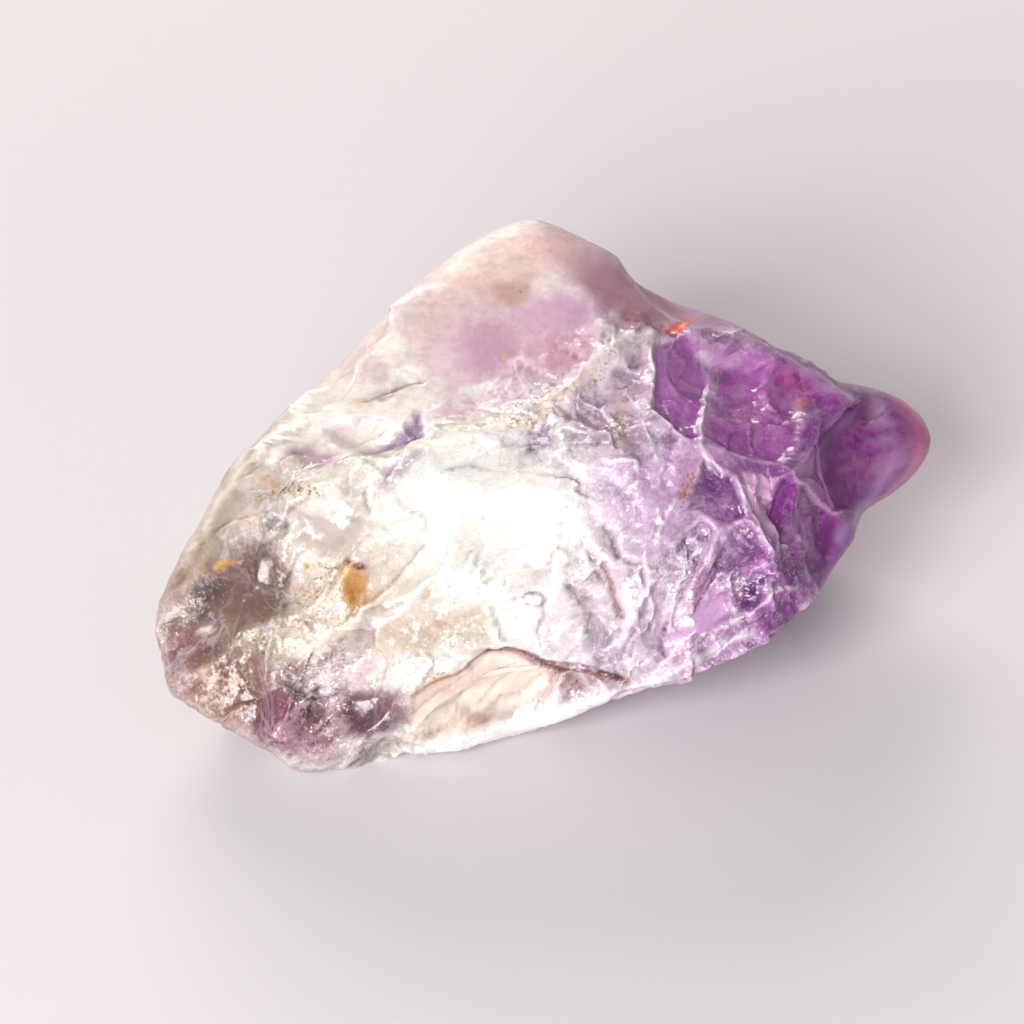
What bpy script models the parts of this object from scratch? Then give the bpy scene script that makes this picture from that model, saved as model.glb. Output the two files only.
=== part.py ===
"""Rough ametrine: one broken piece of quartz, lying on its flattest fracture.

The stone is star shaped about a point near its middle. Along every direction its surface
is the nearest of the fracture planes through the named corners, pushed out by a few rounded
knobs and bitten into by shell-shaped scars. A cube's grid is carried out to that surface.

Millimetres in the tables, metres in Blender. X runs right, Y away from the viewer, Z up,
with the origin under the middle of the stone, on the surface it rests on.
"""
import math

import bmesh
import bpy
import numpy as np
from mathutils import Vector

MM = 0.001
CELLS = 26                      # grid cells along one side of the cube
HEART = (0.0, -1.0, 7.6)        # the point that every direction starts from
REACH = (19.0, 12.5, 8.5)       # half sizes that spread the grid evenly over the long stone
REST_DEPTH = 0.35               # how far the lowest corners lie under the resting plane
WEAR_PASSES = 1                 # smoothing that takes the knife edge off the ridges
WEAR_SHARE = 0.5                # how far each pass moves a point to its neighbours' middle
HACKLE_SIZE = 3.4               # width of the broad chips all over the fractures
HACKLE_HEIGHT = 0.55            # how far those chips stand out
HACKLE_LEVEL = 0.5              # the chip value that leaves the surface where it is
HACKLE_SEED = 5

# Corners of the block, where three or more fractures meet.
CORNERS = {
    # the far, smooth end that stands highest
    "apex": (-0.6, 12.2, 17.4),
    "apex_left": (-3.4, 10.4, 17.0),
    "apex_right": (2.2, 10.4, 15.6),
    "left_upper": (-7.3, 4.7, 16.5),
    # the crest between the smooth top and the rough front
    "crest_right": (7.1, 4.4, 14.7),
    "crest_middle": (0.6, -2.2, 15.4),
    "crest_left": (-7.9, -5.4, 14.5),
    "crest_end": (-12.4, -7.0, 12.6),
    # the left side, down to the tip
    "left_shoulder": (-9.9, 0.0, 14.6),
    "left_high": (-13.0, -1.4, 13.1),
    "left_low": (-15.8, -2.9, 11.6),
    "left_edge": (-17.6, -5.0, 9.0),
    "left_side": (-19.1, -7.0, 6.7),
    "left_tip": (-19.7, -8.6, 5.1),
    "left_foot": (-18.6, -11.2, 3.5),
    # the front foot
    "toe_left": (-15.6, -12.6, 2.3),
    "toe": (-12.4, -14.0, 1.1),
    "toe_right": (-11.0, -13.8, 0.5),
    "foot_front": (-3.5, -11.4, 0.4),
    "foot_middle": (1.5, -11.4, 2.2),
    "foot_right": (7.6, -11.0, 4.7),
    "foot_end": (11.0, -10.0, 5.9),
    # the ridge that runs down the front, and the violet side right of it
    "spur": (5.1, -2.8, 15.2),
    "spur_middle": (7.7, -4.9, 14.1),
    "spur_low": (9.5, -6.8, 12.3),
    "spur_end": (11.3, -8.9, 9.0),
    "right_low": (13.5, -7.1, 6.4),
    "right_side": (15.6, -2.4, 6.6),
    "right_back": (16.4, 2.4, 6.2),
    "pool_corner": (12.4, -4.1, 12.1),
    "pool_top": (15.7, 3.8, 11.1),
    "right_top": (11.9, 5.2, 12.9),
    # the blunt wedge behind the dark pool, which ends in the nose
    "nose_high": (17.2, 7.2, 8.2),
    "nose_back": (15.4, 9.4, 5.6),
    "nose_low": (16.4, 5.6, 3.7),
    # the rough front, which faces the viewer
    "front_left": (-9.7, -10.2, 9.8),
    "front_middle": (-2.2, -7.9, 12.8),
    "front_low": (2.7, -10.0, 9.4),
    # the hidden back
    "back_high": (-4.0, 13.3, 12.0),
    "back_middle": (3.5, 13.3, 9.0),
    "back_right": (12.0, 9.8, 8.2),
    "back_left": (-10.6, 7.0, 8.8),
    "back_end": (-15.8, 1.6, 7.5),
    # the fracture it rests on
    "rest_left": (-15.4, -6.5, -REST_DEPTH),
    "rest_front_left": (-12.4, -12.0, -REST_DEPTH),
    "rest_front": (-5.0, -10.6, -REST_DEPTH),
    "rest_front_right": (4.6, -5.6, -REST_DEPTH),
    "rest_right": (9.6, 1.4, -REST_DEPTH),
    "rest_back_right": (8.2, 9.0, -REST_DEPTH),
    "rest_back": (-1.0, 11.8, -REST_DEPTH),
    "rest_back_left": (-10.5, 6.6, -REST_DEPTH),
}

# Rounded knobs that stand out of the block: middle and half sizes.
KNOBS = {
    "nose": ((15.1, 5.6, 7.2), (5.0, 3.6, 2.5)),
    "nose_under": ((16.2, 5.0, 6.6), (2.9, 2.8, 2.2)),
    "toe_lump": ((-12.2, -10.7, 2.5), (2.6, 3.2, 2.4)),
    "shoulder": ((-12.9, -2.6, 11.2), (1.9, 2.0, 2.5)),
}

# Shell-shaped scars: a point to aim at, the width and length across the surface, the depth,
# and the turn of the long side from level, in degrees.
SCARS = {
    "dark_pool": ((15.0, 0.2, 9.7), 4.8, 6.0, 1.0, 55),
    "below_pool": ((14.0, -4.6, 8.4), 4.2, 6.0, 0.8, 70),
    "violet_bay": ((9.0, 1.6, 13.9), 6.0, 6.6, 0.8, 20),
    "violet_step": ((12.6, 2.6, 12.6), 3.4, 4.6, 0.6, 10),
    "under_spur": ((11.0, -5.6, 11.2), 2.8, 4.4, 0.6, 60),
    "spur_left": ((3.2, -2.4, 14.9), 3.4, 5.4, 0.7, 65),
    "lilac_groove": ((-8.6, -4.4, 14.4), 2.2, 6.0, 0.8, 28),
    "pale_window": ((-1.6, -11.2, 3.2), 5.4, 10.4, 1.1, 16),
    "frosted_cheek": ((-9.4, -11.9, 5.0), 4.6, 6.0, 0.8, 60),
    "left_hollow": ((-15.6, -8.6, 6.8), 4.8, 6.8, 0.8, 60),
    "champagne_face": ((-11.6, -8.8, 9.8), 4.0, 7.0, 0.6, 50),
    "streak_face": ((-7.0, -9.4, 10.4), 3.0, 7.6, 0.6, 38),
    "front_bowl": ((-1.0, -8.4, 11.4), 6.0, 7.6, 0.6, 10),
    "front_chip_a": ((3.0, -9.6, 8.4), 2.6, 4.6, 0.8, 75),
    "front_chip_b": ((5.6, -9.6, 7.6), 2.6, 4.4, 0.8, 70),
    "front_chip_c": ((8.4, -8.6, 8.8), 3.2, 5.6, 0.7, 50),
    "shoulder_nick": ((-8.6, 3.4, 15.2), 3.6, 3.6, 0.9, 20),
    "apex_saddle": ((6.6, 8.0, 14.3), 6.0, 8.4, 1.5, 0),
    "left_saddle": ((-10.4, 2.7, 14.5), 4.6, 5.0, 1.0, 60),
    "left_notch": ((-11.2, 0.5, 14.4), 4.0, 3.6, 1.3, 60),
    "toe_gap": ((-7.8, -12.9, 0.9), 3.4, 4.0, 0.8, 60),
    "back_shell": ((1.0, 13.0, 9.0), 9.0, 9.0, 1.3, 0),
    "back_shell_left": ((-9.0, 9.0, 8.0), 7.0, 9.0, 1.2, 30),
    "back_shell_right": ((9.0, 10.0, 6.4), 6.0, 7.0, 1.0, -30),
    "under_right": ((11.5, -4.0, 2.6), 7.0, 12.0, 1.2, 20),
    "under_back": ((2.0, 9.6, 1.0), 5.0, 9.0, 0.8, 0),
    "under_left": ((-16.5, -6.0, 2.0), 4.0, 7.0, 0.6, 0),
}

# Large odd numbers that make neighbouring cells of the hackle differ.
SCATTER = (374761393, 668265263, 1440662683)
SEED_SCATTER = 974711
MIX = 1274126177
BITS_32 = 0xFFFFFFFF
BITS_24 = 0xFFFFFF

VIOLET = (0.36, 0.19, 0.52, 1.0)
IOR = 1.544                     # quartz
FROST = 0.25                    # roughness of the broken faces
CLARITY = 0.7                   # share of the light that goes through


def fracture_planes():
    """Outward normals of the block's fractures, and their distances from the heart."""
    heart = Vector(HEART)
    mesh = bmesh.new()
    for corner in CORNERS.values():
        mesh.verts.new(Vector(corner) - heart)
    hull = bmesh.ops.convex_hull(mesh, input=mesh.verts)
    loose = [g for g in hull["geom_interior"] if isinstance(g, bmesh.types.BMVert)]
    bmesh.ops.delete(mesh, geom=loose, context="VERTS")
    bmesh.ops.recalc_face_normals(mesh, faces=mesh.faces)
    normals = np.array([face.normal[:] for face in mesh.faces])
    middles = np.array([face.calc_center_median()[:] for face in mesh.faces])
    mesh.free()
    distances = (normals * middles).sum(axis=1)
    return normals * np.sign(distances)[:, None], np.abs(distances)


def block_reach(directions, planes):
    """How far each direction runs to the nearest fracture, and that fracture's normal."""
    normals, distances = planes
    facing = np.maximum(directions @ normals.T, 1e-6)
    reach = distances / facing
    nearest = reach.argmin(axis=1)
    return reach.min(axis=1), normals[nearest]


def ellipsoid_hits(directions, middle, axes):
    """Near and far distance at which each direction crosses an ellipsoid, and whether it does.

    axes holds its three half axes as rows, each as long as the half size along it.
    """
    scale = axes / (axes ** 2).sum(axis=1, keepdims=True)
    start = scale @ (-np.asarray(middle))
    step = directions @ scale.T
    a = (step ** 2).sum(axis=1)
    b = step @ start
    c = start @ start - 1.0
    inside = b * b - a * c
    root = np.sqrt(np.maximum(inside, 0.0))
    return (-b - root) / a, (-b + root) / a, inside > 0


def scar_axes(normal, width, length, depth, turn):
    """Half axes of the ellipsoid whose cap leaves a scar of this size, and its cap's height."""
    level = np.cross((0.0, 0.0, 1.0), normal)
    level /= np.linalg.norm(level)
    rise = np.cross(normal, level)
    angle = math.radians(turn)
    along = level * math.cos(angle) + rise * math.sin(angle)
    across = np.cross(normal, along)
    half_out = 0.5 * width
    share = 1.0 - depth / half_out
    spread = 1.0 / math.sqrt(1.0 - share * share)
    half_axes = (along * 0.5 * length * spread, across * 0.5 * width * spread, normal * half_out)
    return np.array(half_axes), share * half_out


def stone_reach(directions, planes):
    """How far the stone's surface lies from its heart along each direction."""
    reach, _ = block_reach(directions, planes)
    heart = np.array(HEART)
    for middle, half in KNOBS.values():
        _, far, hit = ellipsoid_hits(directions, np.array(middle) - heart, np.diag(half))
        reach = np.where(hit & (far > reach), far, reach)
    for aim, width, length, depth, turn in SCARS.values():
        toward = np.array(aim) - heart
        toward /= np.linalg.norm(toward)
        out, normal = block_reach(toward[None], planes)
        axes, lift = scar_axes(normal[0], width, length, depth, turn)
        near, _, hit = ellipsoid_hits(directions, toward * out[0] + normal[0] * lift, axes)
        reach = np.where(hit & (near > 0) & (near < reach), near, reach)
    return reach


def lattice(cell, seed):
    """A number from 0 to 1 for each whole-numbered cell, the same every run."""
    mixed = (cell @ np.array(SCATTER) + seed * SEED_SCATTER) & BITS_32
    mixed = ((mixed ^ (mixed >> 13)) * MIX) & BITS_32
    return ((mixed ^ (mixed >> 16)) & BITS_24) / BITS_24


def chips(points, size, seed):
    """Hollows with sharp rims, from 0 in a hollow to about 1 on a rim: nearest of scattered seeds."""
    scaled = points / size
    home = np.floor(scaled).astype(np.int64)
    nearest = np.full(len(points), np.inf)
    for dx in (-1, 0, 1):
        for dy in (-1, 0, 1):
            for dz in (-1, 0, 1):
                cell = home + np.array((dx, dy, dz))
                spot = cell + np.stack([lattice(cell, seed + k) for k in range(3)], axis=1)
                nearest = np.minimum(nearest, ((scaled - spot) ** 2).sum(axis=1))
    return nearest


def grid_cube():
    """A cube whose sides carry an even grid of CELLS by CELLS squares."""
    bpy.ops.mesh.primitive_cube_add(size=2.0)
    stone = bpy.context.object
    mesh = bmesh.new()
    mesh.from_mesh(stone.data)
    bmesh.ops.subdivide_edges(mesh, edges=mesh.edges, cuts=CELLS - 1, use_grid_fill=True)
    return stone, mesh


def shape_stone(mesh):
    """Carries the cube's grid out to the stone's surface, then wears its ridges."""
    planes = fracture_planes()
    grid = np.array([vert.co[:] for vert in mesh.verts])
    spread = np.tan(grid * math.pi / 4) * np.array(REACH)
    directions = spread / np.linalg.norm(spread, axis=1, keepdims=True)
    surface = np.array(HEART) + directions * stone_reach(directions, planes)[:, None]
    for vert, place in zip(mesh.verts, surface):
        vert.co = place
    for _ in range(WEAR_PASSES):
        bmesh.ops.smooth_vert(
            mesh, verts=mesh.verts, factor=WEAR_SHARE, use_axis_x=True, use_axis_y=True, use_axis_z=True)
    mesh.normal_update()
    worn = np.array([vert.co[:] for vert in mesh.verts])
    outward = np.array([vert.normal[:] for vert in mesh.verts])
    hackle = (chips(worn, HACKLE_SIZE, HACKLE_SEED) - HACKLE_LEVEL) * HACKLE_HEIGHT
    for vert, place in zip(mesh.verts, worn + outward * hackle[:, None]):
        vert.co = (place[0] * MM, place[1] * MM, max(place[2], 0.0) * MM)


def crystal_material():
    """Clear violet quartz with a broken, slightly frosted face."""
    material = bpy.data.materials.new("ametrine")
    material.use_nodes = True
    quartz = material.node_tree.nodes["Principled BSDF"]
    quartz.inputs["Base Color"].default_value = VIOLET
    quartz.inputs["Roughness"].default_value = FROST
    quartz.inputs["Metallic"].default_value = 0.0
    quartz.inputs["IOR"].default_value = IOR
    quartz.inputs["Transmission Weight"].default_value = CLARITY
    return material


def build():
    for old in list(bpy.data.objects):
        bpy.data.objects.remove(old)
    home = bpy.data.collections.new("rough_ametrine")
    bpy.context.scene.collection.children.link(home)
    stone, mesh = grid_cube()
    shape_stone(mesh)
    bmesh.ops.triangulate(mesh, faces=mesh.faces)
    bmesh.ops.recalc_face_normals(mesh, faces=mesh.faces)
    mesh.to_mesh(stone.data)
    mesh.free()
    stone.name = stone.data.name = "ametrine"
    stone.data.materials.append(crystal_material())
    for other in list(stone.users_collection):
        other.objects.unlink(stone)
    home.objects.link(stone)


build()
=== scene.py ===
import math
import bmesh
import bpy
import mathutils
import numpy as np
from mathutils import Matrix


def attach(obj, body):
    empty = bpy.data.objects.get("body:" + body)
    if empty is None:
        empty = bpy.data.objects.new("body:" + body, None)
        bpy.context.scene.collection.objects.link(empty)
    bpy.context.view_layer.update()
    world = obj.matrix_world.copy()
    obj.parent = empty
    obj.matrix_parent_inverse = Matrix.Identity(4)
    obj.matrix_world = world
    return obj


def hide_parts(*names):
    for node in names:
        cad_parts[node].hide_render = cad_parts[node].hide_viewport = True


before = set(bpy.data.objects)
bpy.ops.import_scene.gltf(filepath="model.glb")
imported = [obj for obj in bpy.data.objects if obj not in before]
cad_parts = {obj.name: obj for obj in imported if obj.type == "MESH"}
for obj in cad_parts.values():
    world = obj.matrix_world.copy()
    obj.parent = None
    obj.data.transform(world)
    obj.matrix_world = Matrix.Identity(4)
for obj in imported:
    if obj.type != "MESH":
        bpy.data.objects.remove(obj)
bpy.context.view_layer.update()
print("frame loaded")

mm = 0.001

# The photo's viewpoint, in mm. It looks along +Y and down, and a pixel is a twentieth of a mm there.
viewpoint = {
    "target": (-1.65, -1.85, 8.0),
    "distance": 320.0,
    "elevation": 35.0,
    "lens": 225.0,
    "sensor": 36.0,
    "imageSide": 1024,
    "pixelSize": 0.05,
}

# Directions of the photo in the frame: to the right, towards the viewer and up the picture.
lookDown = math.radians(viewpoint["elevation"])
viewRight = np.array((1.0, 0.0, 0.0))
viewBack = np.array((0.0, -math.cos(lookDown), math.sin(lookDown)))
viewUp = np.cross(viewBack, viewRight)

# The block: a grid carried out to the nearest fracture, in mm, as the solid it stands for.
block = {
    "cells": (340, 228),            # squares across and up the side that the photo shows, about 0.1 mm each
    "face": 0.84,                   # share of them that lies flat to the photo; the rest bends back
    "heart": (0.0, -1.0, 7.6),      # the point that every direction starts from
    "reach": (18.5, 12.0, 8.0),     # half sizes across, up and back that spread the grid evenly
    "restDepth": 0.35,              # how far the lowest corners lie under the resting plane
}

# Corners of the block, in mm, where three or more fractures meet.
corners = {
    # the far, smooth end that stands highest
    "apex": (-0.6, 12.4, 17.7),
    "apexLeft": (-3.8, 10.3, 17.1),
    "apexRight": (2.2, 10.4, 15.6),
    "leftUpper": (-7.3, 4.7, 16.5),
    # the crest between the smooth top and the rough front
    "crestRight": (7.1, 4.4, 14.7),
    "crestMiddle": (0.6, -2.2, 15.4),
    "crestLeft": (-7.9, -5.4, 14.5),
    "crestEnd": (-12.4, -7.0, 12.6),
    # the left side, down to the tip
    "leftShoulder": (-9.9, 0.0, 14.6),
    "leftHigh": (-13.0, -1.4, 13.1),
    "leftLow": (-15.8, -2.9, 11.6),
    "leftEdge": (-17.6, -5.0, 9.0),
    "leftSide": (-19.1, -7.0, 6.7),
    "leftTip": (-19.7, -8.6, 5.1),
    "leftFoot": (-18.6, -11.2, 3.5),
    # the front foot
    "toeLeft": (-15.6, -12.6, 2.3),
    "toe": (-12.4, -14.0, 1.1),
    "toeRight": (-11.0, -13.8, 0.5),
    "footFront": (-3.5, -11.4, 0.4),
    "footMiddle": (1.5, -11.4, 2.2),
    "footRight": (7.6, -11.0, 4.7),
    "footEnd": (11.0, -10.0, 5.9),
    # the ridge that runs down the front, and the violet side right of it
    "spur": (5.1, -2.8, 15.2),
    "spurMiddle": (7.7, -4.9, 14.1),
    "spurLow": (9.5, -6.8, 12.3),
    "spurEnd": (11.3, -8.9, 9.0),
    "rightLow": (13.5, -7.1, 6.4),
    "rightSide": (15.6, -2.4, 6.6),
    "rightBack": (16.4, 2.4, 6.2),
    "poolCorner": (12.4, -4.1, 12.1),
    "poolTop": (15.7, 3.8, 11.1),
    "rightTop": (11.9, 5.2, 12.9),
    # the blunt wedge behind the dark pool, which ends in the nose
    "noseHigh": (17.2, 7.2, 8.2),
    "noseBack": (15.4, 9.4, 5.6),
    "noseLow": (16.4, 5.6, 3.7),
    # the rough front, which faces the viewer
    "frontLeft": (-9.7, -10.2, 9.8),
    "frontMiddle": (-2.2, -7.9, 12.8),
    "frontLow": (2.7, -10.0, 9.4),
    # the hidden back
    "backHigh": (-4.0, 13.3, 12.0),
    "backMiddle": (3.5, 13.3, 9.0),
    "backRight": (12.0, 9.8, 8.2),
    "backLeft": (-10.6, 7.0, 8.8),
    "backEnd": (-15.8, 1.6, 7.5),
    # the fracture it rests on
    "restLeft": (-15.4, -6.5, -block["restDepth"]),
    "restFrontLeft": (-12.4, -12.0, -block["restDepth"]),
    "restFront": (-5.0, -10.6, -block["restDepth"]),
    "restFrontRight": (4.6, -5.6, -block["restDepth"]),
    "restRight": (9.6, 1.4, -block["restDepth"]),
    "restBackRight": (8.2, 9.0, -block["restDepth"]),
    "restBack": (-1.0, 11.8, -block["restDepth"]),
    "restBackLeft": (-10.5, 6.6, -block["restDepth"]),
}

# Rounded knobs that stand out of the block, in mm: middle and half sizes.
knobs = {
    "nose": ((15.1, 5.6, 7.2), (5.2, 3.7, 2.65)),
    "noseUnder": ((16.2, 5.0, 6.6), (3.1, 3.0, 2.4)),
    "toeLump": ((-12.2, -10.7, 2.5), (2.6, 3.2, 2.4)),
    "shoulder": ((-12.9, -2.6, 11.2), (1.9, 2.0, 2.5)),
}

# Shell-shaped scars, in mm: the point each is aimed at, its width, length and depth, and the turn of
# its long side from level, in degrees.
scars = {
    "darkPool": ((15.0, 0.2, 9.7), 4.8, 6.0, 1.0, 55),
    "belowPool": ((14.0, -4.6, 8.4), 4.2, 6.0, 0.8, 70),
    "violetBay": ((9.0, 1.6, 13.9), 6.0, 6.6, 0.8, 20),
    "violetStep": ((12.6, 2.6, 12.6), 3.4, 4.6, 0.6, 10),
    "underSpur": ((11.0, -5.6, 11.2), 2.8, 4.4, 0.6, 60),
    "spurLeft": ((3.2, -2.4, 14.9), 3.4, 5.4, 0.7, 65),
    "lilacGroove": ((-8.6, -4.4, 14.4), 2.2, 6.0, 0.8, 28),
    "paleWindow": ((-1.6, -11.2, 3.2), 5.4, 10.4, 1.1, 16),
    "frostedCheek": ((-9.4, -11.9, 5.0), 4.6, 6.0, 0.8, 60),
    "leftHollow": ((-15.6, -8.6, 6.8), 4.8, 6.8, 0.8, 60),
    "champagneFace": ((-11.6, -8.8, 9.8), 4.0, 7.0, 0.6, 50),
    "streakFace": ((-7.0, -9.4, 10.4), 3.0, 7.6, 0.6, 38),
    "frontBowl": ((-1.0, -8.4, 11.4), 6.0, 7.6, 0.6, 10),
    "frontChipA": ((3.0, -9.6, 8.4), 2.6, 4.6, 0.8, 75),
    "frontChipB": ((5.6, -9.6, 7.6), 2.6, 4.4, 0.8, 70),
    "frontChipC": ((8.4, -8.6, 8.8), 3.2, 5.6, 0.7, 50),
    "shoulderNick": ((-8.6, 3.4, 15.2), 3.6, 3.6, 0.9, 20),
    "apexSaddle": ((6.6, 8.0, 14.3), 6.0, 8.4, 1.5, 0),
    "leftSaddle": ((-10.4, 2.7, 14.5), 4.6, 5.0, 1.0, 60),
    "leftNotch": ((-11.2, 0.5, 14.4), 4.0, 3.6, 1.3, 60),
    "toeGap": ((-7.8, -12.9, 0.9), 3.4, 4.0, 0.8, 60),
    "backShell": ((1.0, 13.0, 9.0), 9.0, 9.0, 1.3, 0),
    "backShellLeft": ((-9.0, 9.0, 8.0), 7.0, 9.0, 1.2, 30),
    "backShellRight": ((9.0, 10.0, 6.4), 6.0, 7.0, 1.0, -30),
    "underRight": ((11.5, -4.0, 2.6), 7.0, 12.0, 1.2, 20),
    "underBack": ((2.0, 9.6, 1.0), 5.0, 9.0, 0.8, 0),
    "underLeft": ((-16.5, -6.0, 2.0), 4.0, 7.0, 0.6, 0),
}

# Flat and hollow facets on the side that the photo shows: outline in the photo's pixels, how far it is cut
# in, in mm, its slope to the right and downwards, the colour of the quartz seen through it and its share,
# how broken its face is, how soft its border is, in mm, and how well it lets light through.
facets = {
    "darkPool": ([(853, 403), (793, 470), (817, 499), (838, 510), (856, 511), (871, 489), (881, 462),
        (884, 430), (876, 406)], 0.55, (-0.08, 0.06), "#8a1a90", 0.95, 0.05, 0.3, 0.6),
    "violetTall": ([(655, 342), (694, 328), (704, 343), (709, 383), (703, 420), (698, 440), (686, 436),
        (657, 409)], 0.4, (0.1, -0.04), "#c05aca", 0.9, 0.15, 0.3, 0.6),
    "pinkTriangle": ([(706, 345), (739, 341), (740, 348), (717, 377)],
        0.2, (-0.14, 0.05), "#d36ccd", 0.8, 0.1, 0.3, 0.6),
    "violetBroad": ([(741, 348), (768, 357), (786, 376), (796, 403), (801, 420), (794, 449), (780, 459),
        (729, 448), (701, 436), (707, 419), (717, 379)], 0.28, (-0.03, -0.06), "#c457c6", 0.9, 0.2, 0.6, 0.6),
    "violetStrip": ([(731, 422), (752, 419), (753, 455), (728, 449)],
        0.2, (0.16, 0.0), "#973fa5", 0.8, 0.1, 0.3, 0.6),
    "lavenderShoulder": ([(770, 352), (800, 366), (842, 388), (872, 402), (850, 403), (806, 450), (799, 440),
        (804, 412), (790, 376)], 0.12, (0.02, 0.1), "#8a1698", 0.92, 0.15, 0.8, 0.6),
    "belowPool": ([(783, 478), (801, 482), (817, 504), (846, 518), (836, 545), (822, 566), (812, 520),
        (797, 540), (782, 545), (770, 515)], 0.35, (0.12, 0.0), "#83248a", 0.9, 0.1, 0.3, 0.6),
    "paleSliver": ([(810, 507), (797, 541), (812, 560), (820, 566)],
        0.1, (-0.2, 0.0), "#db8be3", 0.8, 0.1, 0.3, 0.3),
    "mauveSlope": ([(741, 470), (780, 476), (768, 512), (780, 545), (772, 552), (753, 512)],
        0.25, (0.06, -0.1), "#f8c0ee", 0.85, 0.3, 0.3, 0.15),
    "deepBlock": ([(704, 458), (716, 462), (735, 474), (742, 492), (748, 514), (730, 524), (706, 516),
        (688, 508), (694, 484)], 0.42, (-0.06, 0.06), "#6c2c7a", 0.9, 0.15, 0.3, 0.6),
    "deepSlope": ([(735, 521), (751, 523), (770, 555), (752, 566), (727, 577), (711, 573), (720, 551)],
        0.45, (0.0, -0.12), "#804a8c", 0.9, 0.3, 0.3, 0.6),
    "smallDark": ([(773, 558), (789, 556), (790, 573), (776, 574)],
        0.16, (0.0, 0.1), "#6a2c88", 0.9, 0.1, 0.7, 0.6),
    "lilacFoot": ([(672, 642), (678, 621), (692, 610), (718, 593), (731, 591), (729, 604), (735, 614),
        (704, 634)], 0.4, (-0.06, 0.12), "#c89ecd", 0.85, 0.05, 0.3, 0.2),
    "mottledFoot": ([(734, 580), (764, 572), (769, 594), (740, 612), (733, 600)],
        0.2, (0.05, 0.0), "#6a1f7c", 0.85, 0.4, 0.6, 0.6),
    "greyViolet": ([(556, 402), (606, 384), (630, 352), (650, 346), (652, 404), (640, 432), (618, 440),
        (596, 436), (580, 432)], 0.35, (0.03, 0.1), "#ecc6e4", 0.75, 0.5, 0.6, 0.6),
    "greyVioletLow": ([(520, 432), (548, 412), (560, 420), (556, 446), (530, 452)],
        0.25, (-0.08, 0.08), "#c0a1c7", 0.7, 0.7, 0.8, 0.6),
    "groove": ([(364, 453), (399, 430), (412, 412), (420, 408), (425, 434), (390, 449)],
        0.5, (0.0, 0.1), "#c9a3d3", 0.9, 0.6, 0.4, 0.6),
    "leftMauve": ([(288, 449), (306, 444), (342, 452), (318, 470), (298, 476)],
        0.3, (-0.06, 0.1), "#c09cab", 0.7, 0.4, 0.8, 0.6),
    "lilacUnderCrest": ([(384, 464), (429, 445), (404, 474), (390, 492), (376, 486)],
        0.25, (0.0, 0.06), "#d4a0d3", 0.8, 0.5, 0.7, 0.6),
    "greyWindow": ([(292, 505), (330, 512), (366, 503), (372, 528), (352, 556), (330, 560), (296, 540)],
        0.35, (0.1, 0.03), "#c4b6b4", 0.8, 0.05, 1.0, 0.5),
    "endWindow": ([(228, 541), (258, 532), (276, 540), (284, 600), (262, 628), (232, 640), (212, 612),
        (216, 570)], 0.35, (-0.05, 0.06), "#7d6560", 0.75, 0.05, 1.4, 0.6),
    "champagneStrip": ([(366, 612), (430, 545), (446, 552), (396, 618)],
        0.3, (0.1, 0.06), "#f1ebe1", 0.7, 0.1, 0.5, 0.2),
    "paleScoop": ([(408, 727), (411, 695), (462, 668), (488, 652), (505, 650), (534, 662), (559, 678),
        (553, 699), (534, 718), (505, 725), (433, 735)], 0.8, (-0.05, 0.1), "#e8d5c9", 0.85, 0.1, 0.3, 0.1),
    "scoopTail": ([(507, 650), (560, 664), (622, 680), (580, 700), (556, 704), (562, 678)],
        0.45, (0.0, 0.16), "#b87c84", 0.6, 0.5, 0.5, 0.6),
    "mauveCheek": ([(344, 694), (404, 684), (410, 724), (378, 744), (342, 738)],
        0.3, (0.08, 0.06), "#6e4658", 0.8, 0.1, 0.8, 0.6),
    "frostedCheek": ([(272, 655), (300, 652), (346, 640), (352, 690), (345, 742), (310, 752), (284, 720)],
        0.2, (-0.06, 0.0), "#dcbcc8", 0.8, 1.0, 1.0, 0.2),
    "pinkHollow": ([(216, 648), (256, 640), (270, 668), (272, 712), (254, 722), (226, 704), (206, 676)],
        0.3, (0.08, 0.02), "#8a6052", 0.8, 0.2, 1.4, 0.6),
    "chipOne": ([(566, 560), (596, 548), (612, 566), (604, 600), (580, 612), (564, 590)],
        0.3, (0.12, 0.0), "#f4e6ef", 0.6, 0.6, 0.5, 0.2),
    "chipTwo": ([(624, 556), (640, 560), (650, 590), (640, 614), (626, 604)],
        0.3, (0.14, 0.0), "#e2d3e0", 0.6, 0.4, 0.4, 0.2),
    "chipThree": ([(654, 560), (704, 520), (716, 530), (686, 590), (664, 612)],
        0.3, (-0.1, 0.06), "#e4cae5", 0.7, 0.7, 0.4, 0.2),
}

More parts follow.
